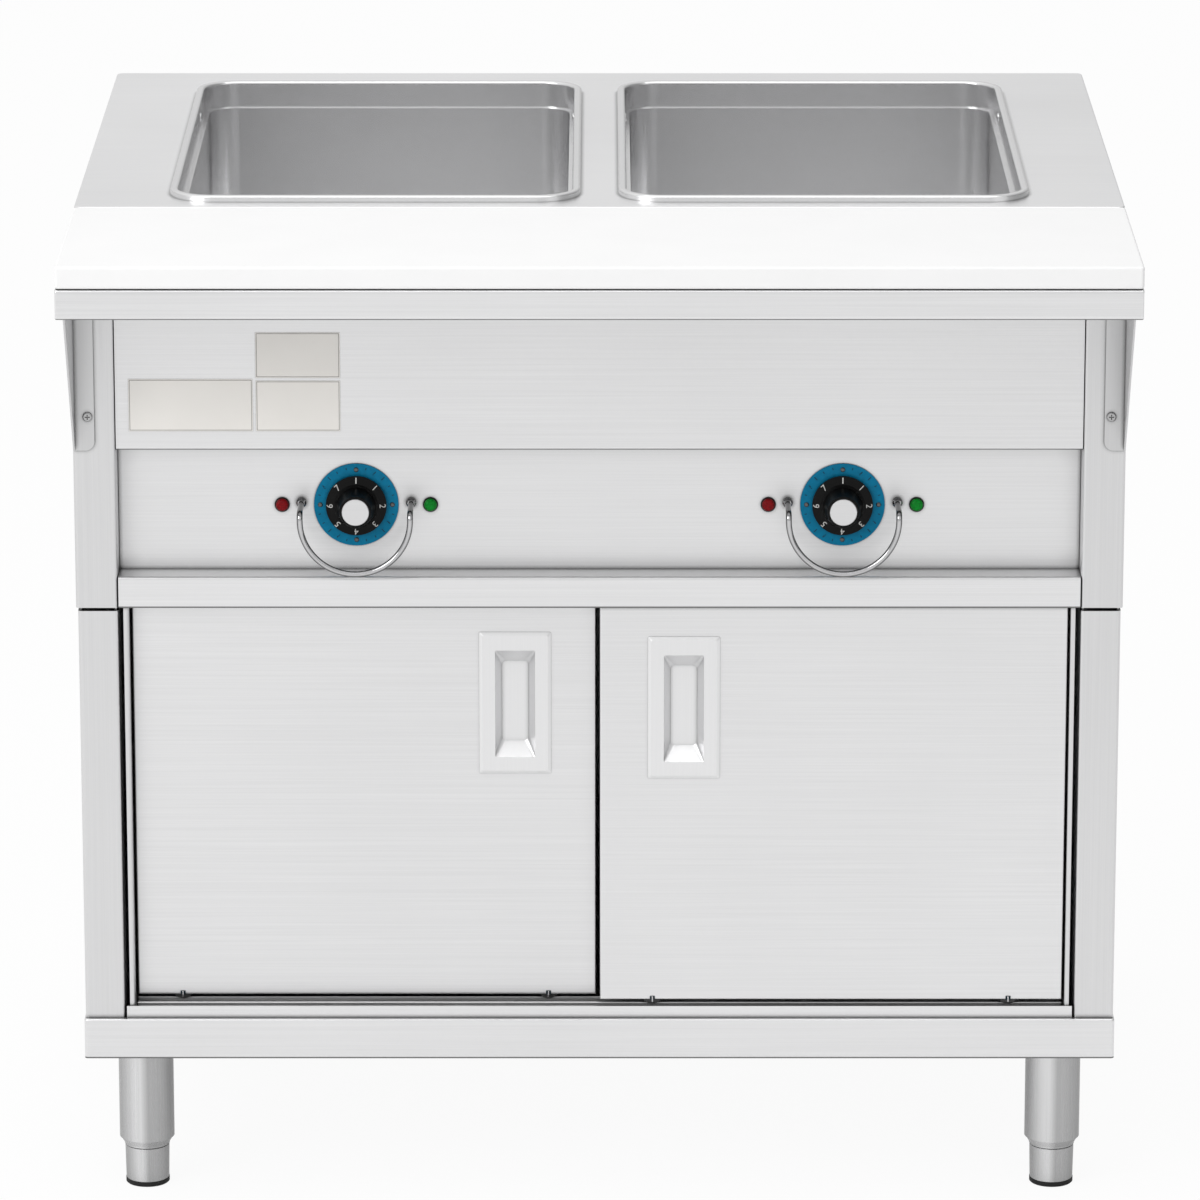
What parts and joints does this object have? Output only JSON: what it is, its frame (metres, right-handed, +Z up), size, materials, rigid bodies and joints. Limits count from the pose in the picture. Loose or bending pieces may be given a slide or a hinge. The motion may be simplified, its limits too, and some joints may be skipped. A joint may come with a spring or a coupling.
{
  "type": "steam table",
  "caption": "Electric steam table: stainless deck with deep wells, lift-off white cutting board on a bracketed front shelf, dial controls with wire guards, sliding-door cabinet, adjustable feet",
  "frame": {"origin": "on the floor, under the middle of the table's outline", "axes": "+X to the right as seen from the front, +Y to the rear, +Z up; the front faces -Y"},
  "size_m": [0.9, 0.83, 0.8705],
  "materials": {
    "deck_steel": "brushed stainless sheet, grain along the width",
    "panel_steel": "brushed stainless sheet, fine grain",
    "post_steel": "brushed stainless, grain along the height",
    "well_steel": "drawn satin stainless",
    "pull_steel": "drawn satin stainless",
    "galvanised": "plain galvanised sheet",
    "chrome_wire": "polished",
    "screw_steel": "polished pan-head",
    "black_plastic": "moulded, satin",
    "cap_metal": "spun satin",
    "blue_dial": "glossy printed disc",
    "red_lens": "translucent ribbed",
    "green_lens": "translucent ribbed",
    "board_plastic": "white, fine satin",
    "roller_plastic": "moulded",
    "element_steel": "heat-darkened",
    "gland_plastic": "moulded",
    "foot_steel": "turned stainless"
  },
  "bodies": {
    "frame": {"top_deck": "deck_steel", "well_left": "well_steel", "well_right": "well_steel", "heating_elements": "element_steel", "thermostats": "galvanised", "apron_panel": "panel_steel", "control_panel": "panel_steel", "front_rail": "panel_steel", "upper_posts": "post_steel", "lower_posts": "post_steel", "upper_side_left": "panel_steel", "upper_side_right": "panel_steel", "upper_back_panel": "panel_steel", "cabinet_side_left": "panel_steel", "cabinet_side_right": "panel_steel", "cabinet_back": "panel_steel", "body_floor": "galvanised", "board_shelf": "deck_steel", "shelf_bracket_left": "post_steel", "shelf_bracket_right": "post_steel", "bracket_screws": "screw_steel", "dial_rings": "blue_dial", "knob_guard_left": "chrome_wire", "knob_guard_right": "chrome_wire", "red_lamps": "red_lens", "green_lamps": "green_lens", "lamp_bezels": "black_plastic", "door_jamb_left": "post_steel", "door_jamb_right": "post_steel", "top_track": "galvanised", "bottom_track": "galvanised", "bottom_shelf": "deck_steel", "cord_gland": "gland_plastic", "leg_front_left": "post_steel", "leg_front_right": "post_steel", "leg_rear_left": "post_steel", "leg_rear_right": "post_steel"},
    "sliding_door_left": {"door_left": "panel_steel", "door_liner_left": "galvanised", "door_pull_left": "pull_steel"},
    "dial_left": {"knob_left": "black_plastic", "knob_cap_left": "cap_metal"},
    "roller_left_1": {"door_roller_left_1": "roller_plastic"},
    "roller_left_2": {"door_roller_left_2": "roller_plastic"},
    "sliding_door_right": {"door_right": "panel_steel", "door_liner_right": "galvanised", "door_pull_right": "pull_steel"},
    "dial_right": {"knob_right": "black_plastic", "knob_cap_right": "cap_metal"},
    "roller_right_1": {"door_roller_right_1": "roller_plastic"},
    "roller_right_2": {"door_roller_right_2": "roller_plastic"},
    "board": {"cutting_board": "board_plastic"},
    "adjuster_front_left": {"foot_front_left": "foot_steel", "foot_pad_front_left": "black_plastic"},
    "adjuster_front_right": {"foot_front_right": "foot_steel", "foot_pad_front_right": "black_plastic"},
    "adjuster_rear_left": {"foot_rear_left": "foot_steel", "foot_pad_rear_left": "black_plastic"},
    "adjuster_rear_right": {"foot_rear_right": "foot_steel", "foot_pad_rear_right": "black_plastic"}
  },
  "joints": [
    {"name": "door_left_slide", "type": "slide", "parent": "frame", "child": "sliding_door_left", "axis": [1, 0, 0], "range_m": [0, 0.388]},
    {"name": "roller_left_1_turn", "type": "hinge", "parent": "sliding_door_left", "child": "roller_left_1", "pos_m": [-0.3626, -0.241, 0.18325], "axis": [0, 1, 0], "range_deg": [0, 2966.1]},
    {"name": "roller_left_2_turn", "type": "hinge", "parent": "sliding_door_left", "child": "roller_left_2", "pos_m": [-0.0443, -0.241, 0.18325], "axis": [0, 1, 0], "range_deg": [0, 2966.1]},
    {"name": "knob_left_turn", "type": "hinge", "parent": "frame", "child": "dial_left", "pos_m": [-0.2082, -0.2415, 0.6175], "axis": [0, 1, 0], "range_deg": [0, 270]},
    {"name": "door_right_slide", "type": "slide", "parent": "frame", "child": "sliding_door_right", "axis": [-1, 0, 0], "range_m": [0, 0.388]},
    {"name": "roller_right_1_turn", "type": "hinge", "parent": "sliding_door_right", "child": "roller_right_1", "pos_m": [0.046, -0.256, 0.18325], "axis": [0, 1, 0], "range_deg": [-2966.1, 0]},
    {"name": "roller_right_2_turn", "type": "hinge", "parent": "sliding_door_right", "child": "roller_right_2", "pos_m": [0.3551, -0.256, 0.18325], "axis": [0, 1, 0], "range_deg": [-2966.1, 0]},
    {"name": "knob_right_turn", "type": "hinge", "parent": "frame", "child": "dial_right", "pos_m": [0.2082, -0.2415, 0.6175], "axis": [0, 1, 0], "range_deg": [0, 270]},
    {"name": "cutting_board_lift", "type": "slide", "parent": "frame", "child": "board", "axis": [0, 0, 1], "range_m": [0, 0.12]},
    {"name": "foot_front_left_adjust", "type": "slide", "parent": "frame", "child": "adjuster_front_left", "axis": [0, 0, -1], "range_m": [0, 0.025]},
    {"name": "foot_front_right_adjust", "type": "slide", "parent": "frame", "child": "adjuster_front_right", "axis": [0, 0, -1], "range_m": [0, 0.025]},
    {"name": "foot_rear_left_adjust", "type": "slide", "parent": "frame", "child": "adjuster_rear_left", "axis": [0, 0, -1], "range_m": [0, 0.025]},
    {"name": "foot_rear_right_adjust", "type": "slide", "parent": "frame", "child": "adjuster_rear_right", "axis": [0, 0, -1], "range_m": [0, 0.025]}
  ],
  "couplings": [
    {"joint": "roller_left_1_turn", "follows": "door_left_slide", "rad_per_m": 133.33},
    {"joint": "roller_left_2_turn", "follows": "door_left_slide", "rad_per_m": 133.33},
    {"joint": "roller_right_1_turn", "follows": "door_right_slide", "rad_per_m": -133.33},
    {"joint": "roller_right_2_turn", "follows": "door_right_slide", "rad_per_m": -133.33}
  ]
}
